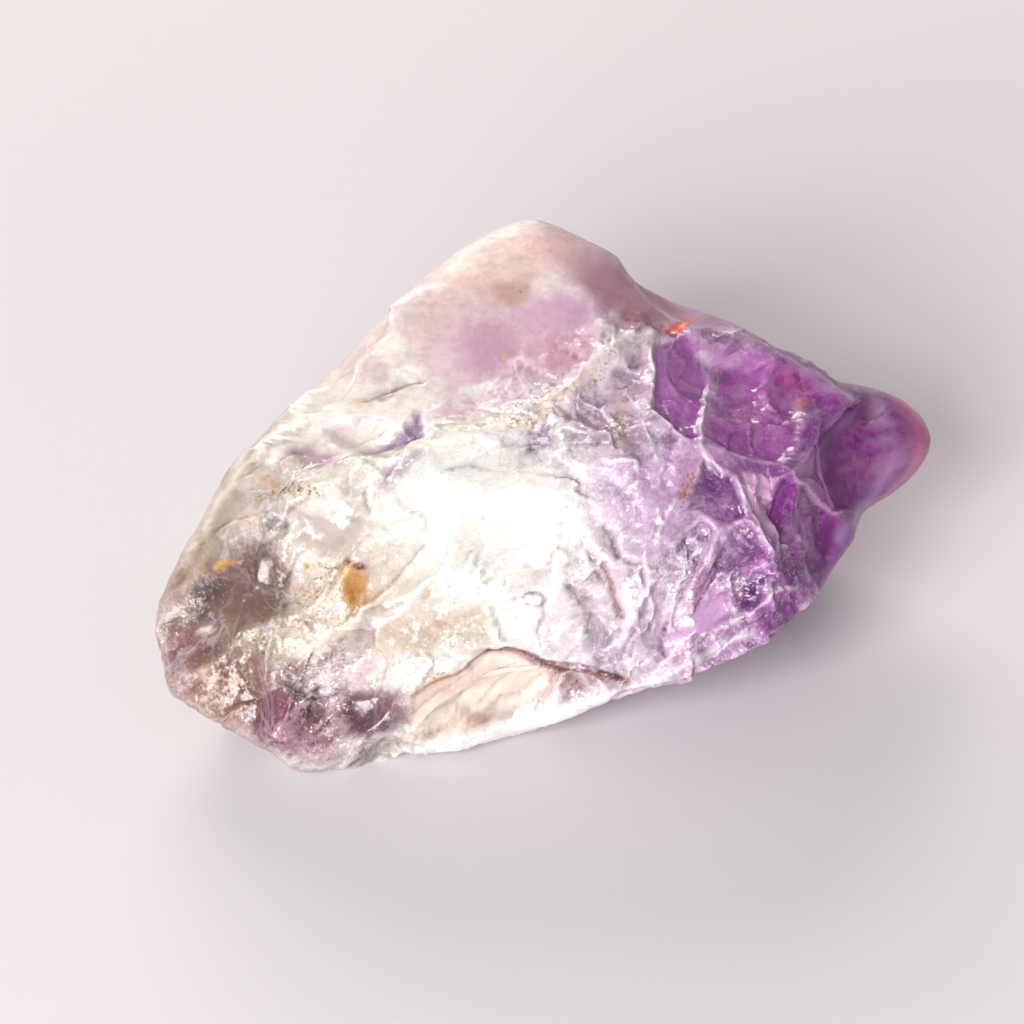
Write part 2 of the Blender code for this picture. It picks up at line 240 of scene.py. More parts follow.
# Ridges and grooves drawn as lines: points in the photo's pixels, half width and height in mm (below zero is
# a groove), the colour that shows along it and its share, and how frosted it is.
lines = {
    # the crest's pale cream colour is a painted highlight along the raised ridge
    "crest": ([(652, 338), (630, 336), (602, 352), (565, 387), (535, 412), (500, 427), (452, 436), (388, 457),
        (340, 478), (304, 492)], 0.29, 0.16, "#fbf3e4", 0.6, 0.2),
    "leftRim": ([(200, 535), (216, 500), (242, 460), (272, 430), (312, 415), (345, 380), (374, 348)],
        0.2, 0.0, "#fbf3e2", 0.7, 0.2),
    "scoopRustLine": ([(488, 653), (520, 656), (552, 668), (578, 676), (604, 680), (628, 682)],
        0.22, -0.1, "#8c4f36", 0.8, 0.0),
    "scoopRustSide": ([(412, 694), (436, 683), (462, 668), (484, 655)], 0.16, 0.0, "#b98a58", 0.7, 0.0),
    "footRust": ([(384, 742), (404, 741), (430, 737), (462, 731), (490, 724)],
        0.16, 0.0, "#b07a44", 0.7, 0.0),
    "grooveRim": ([(300, 483), (340, 461), (374, 441), (410, 418)], 0.14, 0.14, "#ffffff", 0.52, 0.2),
    "spurUpper": ([(640, 400), (656, 410), (671, 426), (687, 439)], 0.12, 0.09, "#f4e9f6", 0.51, 0.2),
    "spurMiddle": ([(699, 441), (706, 456), (712, 466)], 0.13, 0.08, "#f4e9f6", 0.51, 0.2),
    "spurLower": ([(735, 476), (744, 496), (753, 513), (762, 535), (771, 552)],
        0.11, 0.09, "#ead5ee", 0.51, 0.2),
    "curvedRim": ([(708, 446), (733, 452), (751, 458), (778, 462), (790, 469)],
        0.09, 0.07, "#dcb6e0", 0.48, 0.2),
    "poolRidge": ([(856, 404), (825, 437), (793, 471), (770, 480)], 0.12, 0.08, "#bd7db5", 0.48, 0.1),
    "poolFoot": ([(793, 471), (806, 488), (819, 501), (837, 511), (856, 512)],
        0.09, 0.07, "#dcaed6", 0.48, 0.1),
    "tallRidge": ([(700, 330), (705, 350), (709, 383), (703, 420), (698, 441)],
        0.14, 0.07, "#b284bd", 0.45, 0.1),
    "firstUpright": ([(653, 342), (656, 365), (652, 405)], 0.09, 0.06, "#d3bcdc", 0.45, 0.1),
    "noseBand": ([(878, 402), (888, 425), (884, 462), (871, 492), (858, 515), (843, 540)],
        0.3, 0.05, "#a47cc4", 0.6, 0.1),
    "noseRim": ([(903, 396), (921, 404), (933, 424), (936, 446), (926, 470), (906, 490), (884, 505)],
        0.36, 0.0, "#e0529a", 0.8, 0.0),
    "apexCurve": ([(559, 292), (589, 300), (597, 326), (601, 346)], 0.12, 0.06, "#efe2ea", 0.52, 0.1),
    "darkSlit": ([(366, 396), (380, 389), (398, 384), (420, 379)], 0.17, -0.35, "#6d5f68", 0.68, 0.0),
    "brownSlit": ([(606, 563), (611, 580), (617, 604), (620, 616)], 0.14, -0.4, "#a0683e", 0.68, 0.0),
    "brownSlitSmall": ([(642, 568), (645, 586)], 0.13, -0.35, "#9c6a48", 0.68, 0.0),
    "purpleSlit": ([(604, 526), (612, 538), (620, 556)], 0.12, -0.3, "#86709a", 0.6, 0.0),
    "scoopRidge": ([(505, 651), (559, 665), (622, 681)], 0.13, -0.3, "#7c5468", 0.64, 0.0),
    "scoopEdge": ([(534, 721), (580, 708), (631, 689), (668, 676)], 0.14, 0.18, "#fff8fb", 0.6, 0.2),
    "footEdge": ([(726, 626), (740, 617), (767, 605), (774, 594), (800, 590)],
        0.12, 0.16, "#f6e6fa", 0.6, 0.2),
    "streak": ([(345, 622), (366, 603), (390, 583), (424, 548)], 0.09, -0.16, "#bfa482", 0.45, 0.0),
    "blade": ([(271, 632), (267, 655), (266, 678)], 0.12, 0.18, "#ffffff", 0.68, 0.1),
    "cheekFoldOne": ([(266, 728), (290, 746), (311, 760)], 0.1, 0.14, "#f0dce6", 0.6, 0.1),
    "cheekFoldTwo": ([(289, 730), (304, 746), (318, 762)], 0.1, 0.14, "#f0dce6", 0.6, 0.1),
    "bowlCurve": ([(534, 572), (548, 560), (558, 545)], 0.08, -0.12, "#cdbccf", 0.45, 0.0),
    "stepLevel": ([(603, 461), (620, 463), (634, 463)], 0.09, 0.14, "#ffffff", 0.85, 0.2),
    "stepUpright": ([(635, 464), (637, 474), (636, 486)], 0.13, 0.16, "#ffffff", 0.85, 0.2),
    "streakUpper": ([(626, 391), (633, 400), (641, 409)], 0.09, 0.12, "#ffffff", 0.8, 0.2),
    "streakMiddle": ([(640, 420), (650, 440), (655, 462)], 0.08, 0.1, "#f4e6f4", 0.7, 0.2),
    "streakLower": ([(656, 510), (661, 526), (660, 541)], 0.08, 0.12, "#ffffff", 0.8, 0.2),
    "brightEdge": ([(553, 404), (556, 425), (566, 446), (583, 468), (598, 480)],
        0.26, 0.12, "#ffffff", 0.8, 0.2),
    "warmBand": ([(616, 390), (619, 420), (622, 452)], 0.3, 0.0, "#e8cdb4", 0.6, 0.0),
    "chipRidge": ([(628, 586), (631, 608), (627, 634)], 0.12, 0.22, "#ffffff", 0.85, 0.2),
    "chipRidgeRight": ([(650, 590), (652, 608), (643, 628)], 0.12, 0.2, "#f7e8f8", 0.8, 0.2),
    "stripUpper": ([(713, 546), (702, 568), (691, 590), (680, 612)], 0.24, 0.2, "#f6e4f8", 0.85, 0.2),
    "stripLower": ([(699, 546), (688, 568), (675, 596)], 0.14, 0.14, "#ffffff", 0.8, 0.2),
    "stripShade": ([(731, 548), (716, 580), (694, 614)], 0.12, -0.22, "#93598c", 0.75, 0.0),
    "footRim": ([(652, 680), (690, 663), (720, 646), (748, 632)], 0.2, 0.14, "#fbeefb", 0.8, 0.4),
    "footFold": ([(662, 656), (664, 640), (669, 622)], 0.12, -0.25, "#82508c", 0.8, 0.0),
    "levelLine": ([(616, 568), (645, 569), (668, 570)], 0.07, 0.08, "#f6e6f2", 0.7, 0.1),
    "bowlShade": ([(582, 545), (592, 556), (600, 572), (606, 584)], 0.16, -0.18, "#a58a9e", 0.7, 0.0),
    "lobeLeft": ([(521, 600), (528, 592), (540, 593), (547, 600), (540, 606), (526, 606), (521, 600)],
        0.07, -0.1, "#9c7f90", 0.75, 0.0),
    "scoopHatchOne": ([(418, 729), (470, 700), (516, 668)], 0.07, -0.08, "#d9b7a4", 0.4, 0.0),
    "scoopHatchTwo": ([(438, 731), (490, 703), (532, 676)], 0.07, -0.08, "#d9b7a4", 0.4, 0.0),
    "scoopHatchThree": ([(411, 716), (450, 690), (486, 662)], 0.07, -0.08, "#d9b7a4", 0.4, 0.0),
    "scoopHatchFour": ([(470, 722), (515, 700), (548, 684)], 0.07, -0.06, "#dfc0b0", 0.35, 0.0),
    "smallHook": ([(366, 493), (367, 502), (371, 510)], 0.1, -0.25, "#a89aa6", 0.6, 0.0),
}

# Stains and patches of colour, among them painted highlights and the painted glow of the middle, none of them
# raised: middle and radii in the photo's pixels, the turn in degrees, the colour and its share, and how much
# of it breaks up into grains.
patches = {
    # broad shades of the left end, under all the others
    "leftShade": ((210, 650), (100, 116), -12, "#6f4e40", 0.85, 0.0),
    "tipShade": ((182, 640), (34, 70), 0, "#8f7270", 0.7, 0.0),
    "toeShade": ((296, 724), (96, 44), 22, "#7a4458", 0.85, 0.0),
    "middleShade": ((318, 612), (112, 78), -30, "#c6b4a4", 0.6, 0.0),
    "cheekShade": ((352, 700), (60, 50), 0, "#c4a4ac", 0.6, 0.0),
    # the waxy top
    "apexCream": ((500, 262), (88, 46), -25, "#dbb4a7", 0.8, 0.0),
    "apexPink": ((545, 240), (46, 26), 20, "#e6aeae", 0.8, 0.0),
    "apexMauve": ((620, 290), (78, 30), 38, "#9c5874", 0.9, 0.0),
    "apexMauveLow": ((644, 320), (26, 16), 20, "#96586c", 0.8, 0.0),
    "apexLilac": ((556, 314), (46, 26), -14, "#c58cc0", 0.75, 0.0),
    "topPink": ((440, 322), (44, 26), -20, "#edd0cd", 0.7, 0.0),
    "topMauveHalo": ((512, 348), (98, 48), -12, "#d9abc6", 0.75, 0.0),
    "topMauve": ((490, 350), (38, 28), 0, "#bf8aac", 0.7, 0.0),
    "topMauveRight": ((560, 358), (34, 20), -16, "#d190ae", 0.75, 0.0),
    "topRoseLow": ((480, 404), (60, 15), -12, "#f2c9da", 0.75, 0.0),
    # a painted highlight on the waxy top
    "topGlint": ((482, 384), (22, 6), -8, "#fcfcfc", 0.7, 0.0),
    "topYellow": ((560, 398), (52, 11), -42, "#fbd8b4", 0.6, 0.3),
    "crestYellow": ((470, 424), (60, 9), -12, "#fff0d0", 0.6, 0.3),
    "crestRust": ((523, 422), (22, 6), -20, "#c99a5c", 0.7, 0.9),
    "topStain": ((508, 292), (22, 14), 20, "#a06a34", 0.85, 0.45),
    "topStainLow": ((430, 304), (14, 6), -10, "#c9a37c", 0.7, 0.6),
    "topDot": ((504, 354), (4, 4), 0, "#ddb07b", 0.9, 0.0),
    "shoulderGrey": ((370, 368), (24, 12), -30, "#c2afb6", 0.75, 0.0),
    "shoulderLens": ((389, 391), (26, 7), -18, "#54403f", 0.85, 0.0),
    "shoulderWhite": ((404, 368), (22, 10), 20, "#fcfcfc", 0.8, 0.0),
    "shoulderCream": ((330, 410), (50, 16), -30, "#f1ede7", 0.8, 0.0),
    "shoulderYellow": ((362, 401), (10, 5), 20, "#e8be7b", 0.7, 0.4),
    "lilacShoulder": ((344, 424), (36, 10), -26, "#e8d9e1", 0.8, 0.0),
    "mauveUnder": ((318, 455), (32, 9), 10, "#c8a8bd", 0.85, 0.0),
    # the bright middle: colourless milky quartz, painted as white as the glow of light through it
    # painted glow: the middle is painted near white for the light shining through it
    "centreGlow": ((486, 516), (120, 78), 10, "#fffbf4", 0.9, 0.0),
    "centreLilac": ((455, 470), (44, 16), -24, "#fcfcfc", 0.7, 0.0),
    "champagne": ((446, 626), (70, 30), 0, "#c6b49e", 0.8, 0.0),
    "champagneLeft": ((400, 640), (40, 24), 0, "#d1bca8", 0.7, 0.0),
    "greyMiddle": ((366, 636), (18, 30), 10, "#ae9894", 0.7, 0.0),
    "mistyLow": ((452, 690), (70, 18), -18, "#c3a49c", 0.6, 0.0),
    "middleLilac": ((652, 492), (58, 50), 35, "#c59fca", 0.6, 0.0),
    "middleViolet": ((716, 548), (26, 44), 20, "#9a66a4", 0.6, 0.0),
    "lowLilac": ((640, 640), (52, 20), -18, "#d9b6d9", 0.6, 0.0),
    "lensMark": ((546, 572), (14, 4), -20, "#c4babc", 0.8, 0.2),
    "lensMarkLeft": ((425, 597), (10, 5), -20, "#c4ae8e", 0.7, 0.3),
    "crackGrey": ((520, 598), (16, 4), -10, "#8c7480", 0.8, 0.5),
    # the grey left end
    "endMauve": ((250, 585), (42, 52), 15, "#745652", 0.85, 0.0),
    "endBrown": ((276, 600), (16, 34), 0, "#6b5240", 0.7, 0.3),
    "endDarkLow": ((209, 588), (22, 14), 10, "#453b3c", 0.85, 0.2),
    "endDarkHigh": ((268, 527), (19, 13), 30, "#4e4644", 0.85, 0.2),
    "endDarkSmall": ((236, 497), (10, 7), 0, "#9d938c", 0.8, 0.2),
    "endGrey": ((205, 620), (16, 12), 0, "#574a4a", 0.7, 0.2),
    # a painted glint on the left end
    "endGlint": ((205, 634), (9, 5), -30, "#f6efe9", 0.9, 0.0),
    "endPink": ((188, 660), (22, 30), 0, "#96686a", 0.8, 0.0),
    "endRose": ((240, 676), (26, 26), 0, "#8a6252", 0.7, 0.1),
    "toePink": ((288, 722), (46, 24), 16, "#8e4c66", 0.6, 0.0),
    "lowRose": ((222, 694), (36, 26), 34, "#8f5f4c", 0.7, 0.0),
    "cheekPale": ((324, 684), (30, 20), -20, "#ead4d8", 0.7, 0.0),
    "toePale": ((318, 742), (26, 12), 20, "#8c5c6e", 0.7, 0.0),
    "cheekMauve": ((376, 714), (36, 30), -30, "#6c4052", 0.85, 0.0),
    "cheekWhite": ((316, 652), (34, 10), -18, "#f4e7de", 0.8, 0.0),
    "stoneEdge": ((196, 560), (10, 44), 20, "#cab69a", 0.7, 0.0),
    # rust, iron stains and dark grains
    "rustSpot": ((350, 584), (17, 25), 5, "#db9e52", 1.0, 0.0),
    "rustShade": ((353, 596), (8, 12), 0, "#a8641e", 0.8, 0.5),
    "rustPale": ((345, 578), (6, 8), 0, "#e6bb55", 0.8, 0.3),
    "rustDotOne": ((347, 563), (5, 5), 0, "#5e1a12", 1.0, 0.0),
    "rustDotTwo": ((360, 567), (7, 4), 0, "#561812", 1.0, 0.0),
    "rustLow": ((299, 626), (11, 7), 0, "#b8702e", 0.85, 0.5),
    "yellowOne": ((220, 565), (12, 8), -20, "#b8841d", 1.0, 0.0),
    "yellowTwo": ((250, 518), (11, 6), 0, "#ddb873", 0.9, 0.2),
    "yellowDot": ((306, 567), (4, 4), 0, "#b69b1d", 1.0, 0.0),
    "rustHigh": ((271, 486), (11, 10), 0, "#e0ab6d", 0.9, 0.3),
    "rustHighLow": ((259, 502), (12, 6), 0, "#b98a4e", 0.8, 0.6),
    "redStreak": ((677, 323), (19, 5), -14, "#ec3a20", 1.0, 0.0),
    "redStreakGlow": ((690, 321), (8, 3), -14, "#ff7a44", 0.9, 0.0),
    "redViolet": ((788, 384), (22, 20), 0, "#cc44a0", 0.6, 0.0),
    "orangeDot": ((797, 404), (8, 6), 40, "#b4560e", 0.9, 0.1),
    "blackDot": ((796, 399), (4, 4), 0, "#2c1620", 1.0, 0.0),
    "crestDot": ((600, 345), (7, 5), 0, "#b1461d", 0.8, 0.2),
    "brownBand": ((296, 496), (40, 10), -8, "#9a7352", 0.75, 0.9),
    "goldGrains": ((322, 600), (44, 34), 0, "#b98f58", 0.6, 1.0),
    "endGrains": ((262, 640), (16, 34), 20, "#80613a", 0.7, 1.0),
    "pinkGrains": ((214, 674), (14, 16), 0, "#a58458", 0.7, 1.0),
    "bandGrains": ((690, 484), (9, 34), 18, "#a86a3e", 0.7, 1.0),
    "slopeGrains": ((708, 572), (8, 40), 34, "#a05a5c", 0.65, 1.0),
    "middleGrains": ((600, 372), (12, 44), 30, "#b58a5c", 0.55, 1.0),
    "scoopRustLeft": ((434, 686), (30, 7), -30, "#b07a40", 0.8, 0.7),
    "scoopRustTop": ((492, 652), (24, 5), -6, "#781d1d", 0.9, 0.4),
    "scoopRustRight": ((556, 676), (26, 10), 14, "#9c6238", 0.85, 0.7),
    "scoopRustFoot": ((426, 736), (38, 6), -8, "#a8702e", 0.85, 0.5),
    "scoopRustEnd": ((475, 722), (20, 7), -10, "#b07052", 0.8, 0.7),
    "ochreLeft": ((437, 622), (7, 6), 0, "#954c1d", 0.85, 0.4),
    "ochreMiddle": ((455, 602), (16, 6), 20, "#be9150", 0.7, 0.7),
}

# Colour of the quartz along the stone, away from the photo's side too: place along X in mm, and hex colour.
zoning = [
    (-19.5, "#c0a39c"), (-16.0, "#c4b2a8"), (-12.5, "#e2d8ce"), (-8.0, "#f6efe6"), (-2.0, "#fdfafa"),
    (2.5, "#e8d6e4"), (6.0, "#c6a2c4"), (9.5, "#a666aa"), (13.0, "#8c3e94"), (17.0, "#6a1f7e"),
    (20.0, "#862876"),
]


def smoothStep(low, high, value):  # 0 below low, 1 above high, and an S between
    t = np.clip((value - low) / (high - low), 0, 1)
    return t * t * (3 - 2 * t)


def linearColour(code):  # an sRGB hex colour turned to linear light
    parts = np.array([int(code[i:i + 2], 16) for i in (1, 3, 5)]) / 255
    return np.where(parts <= 0.04045, parts / 12.92, ((parts + 0.055) / 1.055) ** 2.4)


# A number from 0 to 1 for each whole-numbered cell: its three numbers are mixed and folded.
def scatter(cell, seed):
    mixed = (cell @ np.array((374761393, 668265263, 1440662683)) + seed * 974711) & 0xFFFFFFFF
    mixed = ((mixed ^ (mixed >> 13)) * 1274126177) & 0xFFFFFFFF
    return ((mixed ^ (mixed >> 16)) & 0xFFFFFF) / 0xFFFFFF


# Smooth noise from -1 to 1: the values at a cell's eight corners, blended by an S curve along each axis.
def swell(points, size, seed):
    scaled = points / size
    home = np.floor(scaled).astype(np.int64)
    share = scaled - home
    share = share * share * (3 - 2 * share)
    total = np.zeros(len(points))
    for corner in np.ndindex(2, 2, 2):
        corner = np.array(corner)
        weight = np.prod(np.where(corner, share, 1 - share), axis=1)
        total += weight * scatter(home + corner, seed)
    return total * 2 - 1


# The scattered seed nearest to each point, one seed to a cell: its squared distance, its cell and its place.
def nearestSeed(scaled, seed):
    home = np.floor(scaled).astype(np.int64)
    nearest = np.full(len(scaled), np.inf)
    owner, middle = home.copy(), scaled.copy()
    for step in np.ndindex(3, 3, 3):
        cell = home + np.array(step) - 1
        spot = cell + np.stack([scatter(cell, seed + k) for k in range(3)], axis=1)
        far = ((scaled - spot) ** 2).sum(axis=1)
        closer = far < nearest
        nearest[closer], owner[closer], middle[closer] = far[closer], cell[closer], spot[closer]
    return nearest, owner, middle


def chips(points, size, seed):  # hollows with sharp rims: the squared distance to the nearest seed
    return nearestSeed(points / size, seed)[0]


# Flakes: each point belongs to its nearest seed, whose flake slopes its own way; the second number is the
# flake's own, from 0 to 1.
def flakes(points, size, seed):
    scaled = points / size
    _, owner, middle = nearestSeed(scaled, seed)
    slope = np.stack([scatter(owner, seed + 3 + k) for k in range(3)], axis=1) * 2 - 1
    return (slope * (scaled - middle)).sum(axis=1) * size, scatter(owner, seed + 6)


def swells(points, layers):  # several noises added up, each given as its weight, its size in mm and its seed
    return sum(weight * swell(points, size, seed) for weight, size, seed in layers)


# Points squeezed along one direction, so that a pattern on them is drawn out along it.
def drawnOut(points, direction, times):
    direction = np.array(direction) / np.linalg.norm(direction)
    along = points @ direction
    return points - np.outer(along * (1 - 1 / times), direction)


def cornersOf(grid):  # each square of a grid of point numbers, as its four corners in turn
    return np.stack([grid[:-1, :-1], grid[1:, :-1], grid[1:, 1:], grid[:-1, 1:]], axis=-1)


# Two domes of squares joined at the rim, the one away from the photo half as fine. The rim's squares on that
# side give up the corner before each middle point, and a triangle, written with its last corner twice, fills
# the rest.
def domeGrid(across, up):
    index = np.arange((across + 1) * (up + 1)).reshape(across + 1, up + 1)
    behind = index[::2, ::2].copy()
    inner = behind[1:-1, 1:-1]
    inner[:] = np.arange(inner.size).reshape(inner.shape) + index.size
    seen, hidden = cornersOf(index), cornersOf(behind)
    joined = hidden.copy()
    joined[:, 0, 0], joined[-1, :, 1] = index[1::2, 0], index[-1, 1::2]
    joined[:, -1, 2], joined[0, :, 3] = index[1::2, -1], index[0, 1::2]
    fill = []
    for k in range(4):
        corner = np.stack([hidden[..., k], joined[..., k - 1], joined[..., k], joined[..., k]], axis=-1)
        fill.append(corner[joined[..., k] != hidden[..., k]])
    squares = np.concatenate([seen.reshape(-1, 4), joined.reshape(-1, 4)[:, ::-1], *fill])
    u, v = np.meshgrid(np.linspace(-1, 1, across + 1), np.linspace(-1, 1, up + 1), indexing="ij")
    near = np.stack([u.ravel(), v.ravel(), np.ones(u.size)], axis=1)
    far = np.stack([u[2:-2:2, 2:-2:2].ravel(), v[2:-2:2, 2:-2:2].ravel(), -np.ones(inner.size)], axis=1)
    return np.concatenate([near, far]), squares


# Direction from the heart for each point of the domes: a square's middle lies flat to the photo, and each
# ring outside it goes a step further back, to the plane through the heart.
def domeDirections(grid):
    ring = np.abs(grid[:, :2]).max(axis=1)
    level = grid[:, :2] / np.maximum(ring, 1e-9)[:, None] * np.minimum(ring / block["face"], 1)[:, None]
    back = grid[:, 2] * np.minimum((1 - ring) / (1 - block["face"]), 1)
    spread = np.column_stack([level, back]) * np.array(block["reach"])
    spread = spread @ np.array([viewRight, viewUp, viewBack])
    return spread / np.linalg.norm(spread, axis=1, keepdims=True)


# Outward normals of the block's fractures and their distances from the heart: the faces of the corners' hull.
def fracturePlanes():
    heart = np.array(block["heart"])
    hullMesh = bmesh.new()
    for corner in corners.values():
        hullMesh.verts.new(np.array(corner) - heart)
    hull = bmesh.ops.convex_hull(hullMesh, input=hullMesh.verts)
    inner = [piece for piece in hull["geom_interior"] if isinstance(piece, bmesh.types.BMVert)]
    bmesh.ops.delete(hullMesh, geom=inner, context="VERTS")
    normals = np.array([face.normal[:] for face in hullMesh.faces])
    middles = np.array([face.calc_center_median()[:] for face in hullMesh.faces])
    hullMesh.free()
    distances = (normals * middles).sum(axis=1)
    return normals * np.sign(distances)[:, None], np.abs(distances)


# Distance along each direction to the nearest plane: distance of the plane over the cosine to its normal.
def blockReach(directions, planes):
    normals, distances = planes
    reach = distances / np.maximum(directions @ normals.T, 1e-6)
    return reach.min(axis=1), normals[reach.argmin(axis=1)]


# Near and far crossings of each direction with an ellipsoid, from the quadratic for a point on it.
def ellipsoidHits(directions, middle, axes):
    scale = axes / (axes ** 2).sum(axis=1, keepdims=True)
    start = scale @ -np.asarray(middle)
    step = directions @ scale.T
    a, b, c = (step ** 2).sum(axis=1), step @ start, start @ start - 1
    inside = b * b - a * c
    root = np.sqrt(np.maximum(inside, 0))
    return (-b - root) / a, (-b + root) / a, inside > 0


# Half axes of the ellipsoid whose cap is as wide, long and deep as the scar, and its middle's way out.
def scarAxes(normal, width, length, depth, turn):
    level = np.cross((0, 0, 1), normal)
    level /= np.linalg.norm(level)
    angle = math.radians(turn)
    along = level * math.cos(angle) + np.cross(normal, level) * math.sin(angle)
    share = 1 - depth / (0.5 * width)
    spread = 0.5 / math.sqrt(1 - share * share)
    axes = np.array([along * length * spread, np.cross(normal, along) * width * spread, normal * 0.5 * width])
    return axes, share * 0.5 * width


# The stone's reach: the nearest fracture, pushed out to a knob's far side and cut back to a scar's near side.
def stoneReach(directions):
    planes = fracturePlanes()
    heart = np.array(block["heart"])
    reach = blockReach(directions, planes)[0]
    for middle, half in knobs.values():
        _, far, hit = ellipsoidHits(directions, np.array(middle) - heart, np.diag(half))
        reach = np.where(hit & (far > reach), far, reach)
    for aim, width, length, depth, turn in scars.values():
        toward = np.array(aim) - heart
        toward /= np.linalg.norm(toward)
        out, normal = blockReach(toward[None], planes)
        axes, lift = scarAxes(normal[0], width, length, depth, turn)
        near, _, hit = ellipsoidHits(directions, toward * out[0] + normal[0] * lift, axes)
        reach = np.where(hit & (near > 0) & (near < reach), near, reach)
    return reach


# Values added up at the places they belong to, along each of the three axes.
def gather(places, values, count):
    return np.stack([np.bincount(places, values[:, axis], count) for axis in range(3)], axis=1)


# Outward direction at each point: the sum of its squares' normals, each the cross product of the diagonals.
def outwardAt(points, squares):
    one, two, three, four = [points[squares[:, k]] for k in range(4)]
    across = np.cross(three - one, four - two)
    total = sum(gather(squares[:, k], across, len(points)) for k in range(4))
    return total / np.linalg.norm(total, axis=1, keepdims=True)


# Wear: each point moves a share of the way to the middle of its neighbours, several times.
def worn(points, squares, share, passes):
    ends = np.concatenate([squares[:, (k, (k + 1) % 4)] for k in range(4)])
    count = np.bincount(ends[:, 0], minlength=len(points))[:, None]
    for _ in range(passes):
        middle = gather(ends[:, 0], points[ends[:, 1]], len(points)) / count
        points = points + (middle - points) * share[:, None]
    return points


# Where the photo shows each point, in pixels: across and up over the depth, times the focal length.
def photoPlace(points):
    offset = points - np.array(viewpoint["target"])
    depth = viewpoint["distance"] - offset @ viewBack
    focal = viewpoint["distance"] / viewpoint["pixelSize"]
    middle = viewpoint["imageSide"] / 2
    return middle + focal * (offset @ viewRight) / depth, middle - focal * (offset @ viewUp) / depth


# Distance to a run of straight pieces, in mm: the least of the distances to each of them.
def lineDistance(x, y, points):
    nearest = np.full(len(x), np.inf)
    for (ax, ay), (bx, by) in zip(points[:-1], points[1:]):
        ex, ey = bx - ax, by - ay
        t = np.clip(((x - ax) * ex + (y - ay) * ey) / (ex * ex + ey * ey), 0, 1)
        nearest = np.minimum(nearest, np.hypot(x - ax - t * ex, y - ay - t * ey))
    return nearest * viewpoint["pixelSize"]


# Distance inside a closed outline, in mm, below zero outside it: an odd number of crossings is inside.
def insideDistance(x, y, outline):
    closed = outline + outline[:1]
    inside = np.zeros(len(x), dtype=bool)
    for (ax, ay), (bx, by) in zip(closed[:-1], closed[1:]):
        if ay != by:
            inside ^= ((ay > y) != (by > y)) & (x < ax + (y - ay) * (bx - ax) / (by - ay))
    return np.where(inside, 1, -1) * lineDistance(x, y, closed)


def mixInto(colour, other, share):  # each row of colour moved a share of the way to one other colour
    return colour + (other - colour) * share[:, None]


# How the surface is finished over its whole. Sizes and heights are in mm, shares go from 0 to 1.
finish = {
    "wearPasses": 4, "wearShare": 0.5,              # rounding of the broken front
    "smoothPasses": 3, "smoothShare": 0.5,          # further rounding of the waxy top and the nose
    "nosePasses": 8, "noseShare": 0.6,              # and of the nose alone, where it swells out of the block
    "hiddenPasses": 3, "hiddenShare": 0.5,          # and of the sides that the photo hides, once broken
    "lastShare": 0.25,                              # least rounding of all that is laid on
    "warpSize": 2.6, "warp": 0.5,                   # the grid wanders, so that no fracture is dead straight
    "hackleSize": 3.4, "hackleHeight": 0.70,
    "stepSize": 5.0, "stepSlope": 0.14,
    "hollowSize": 7.5, "hollowHeight": 1.2,         # on the sides that the photo hides
    "shellSize": 1.7, "shellHeight": 0.60,
    # flakeShade and sliverShade: how strongly flakes and slivers are painted lighter or darker, as painted
    # light and shade
    "flakeSize": 1.9, "flakeSlope": 0.16, "flakeShade": 0.4,
    "sliverSize": 0.8, "sliverSlope": 0.24, "sliverShade": 0.6,
    "sharpEdge": 0.30, "rimWidth": 0.12, "rimFrost": 0.3,   # a facet no softer than this has a frosted rim
    "linePixels": 3.0,          # how far a facet's edge wanders in the photo's frame
    "cloudPixels": 11.0,        # how far a patch's edge wanders
    "ridgeLight": 0.38, "crackPaintedShade": 0.35,     # how much paler ridges are painted, and how much painted shade darkens cracks
    "cloudColour": "#d3a6bf", "cloudShare": 0.45, "milkShare": 0.14,    # in the waxy skin
    "silkSize": 0.55, "silkHeight": 0.07, "silkColour": "#f8ecf8",      # streaks of the broken front
    "silkLight": 0.55, "silkDeep": 0.35, "silkDark": 0.38,
    "bandSize": 0.9, "bandColour": "#e2b4df", "bandShare": 0.30,        # inside the violet
    "rustColour": "#b07a48",
}

# Where each mask rises from 0 to 1: along X or Z in mm, or by the cosine of the angle between the surface
# and up, or the photo's viewer.
masks = {
    "topFaces": (0.2, 0.9),         # up
    "crestAcross": (-0.56, 0.8, 0.0), "topBehind": (-0.5, 2.5),     # the crest's cross way, and mm behind it
    "topFrom": (-14.0, -9.5),
    "noseFrom": (13.6, 15.6), "noseBelow": (10.6, 9.4),
    "seen": (-0.05, 0.15), "hidden": (0.05, -0.25), "wellHidden": (-0.1, -0.5),
    "violetFrom": (3.0, 8.0), "silkFrom": (-4.0, 3.0), "deepFrom": (6.0, 12.0),
    "silkCrunch": (0.05, 0.4),
    "calmMiddle": (480, 505), "calmRadii": (110, 66),       # the smooth bright middle, in the photo's pixels
}

# Noises that are added up: weight, size in mm and seed of each.
noises = {
    "zoning": [(1.6, 5.0, 70), (0.5, 1.6, 71)],
    "edgeAcross": [(1.0, 1.1, 80), (0.4, 0.4, 82)],
    "edgeUp": [(1.0, 1.1, 81), (0.4, 0.4, 83)],
    "cloudAcross": [(1.0, 2.4, 84), (0.5, 0.8, 86), (0.35, 0.3, 88)],
    "cloudUp": [(1.0, 2.4, 85), (0.5, 0.8, 87), (0.35, 0.3, 89)],
    "skin": [(1.0, 3.2, 91), (0.6, 1.1, 92), (0.3, 0.45, 93)],
    "milk": [(0.5, 1.6, 94), (0.5, 0.6, 95)],
}


def zonedTint(points):  # colour of the quartz by its place along the stone, which wanders a little
    along = points[:, 0] + swells(points, noises["zoning"])
    places = [place for place, _ in zoning]
    colours = np.array([linearColour(code) for _, code in zoning])
    return np.stack([np.interp(along, places, colours[:, k]) for k in range(3)], axis=1)


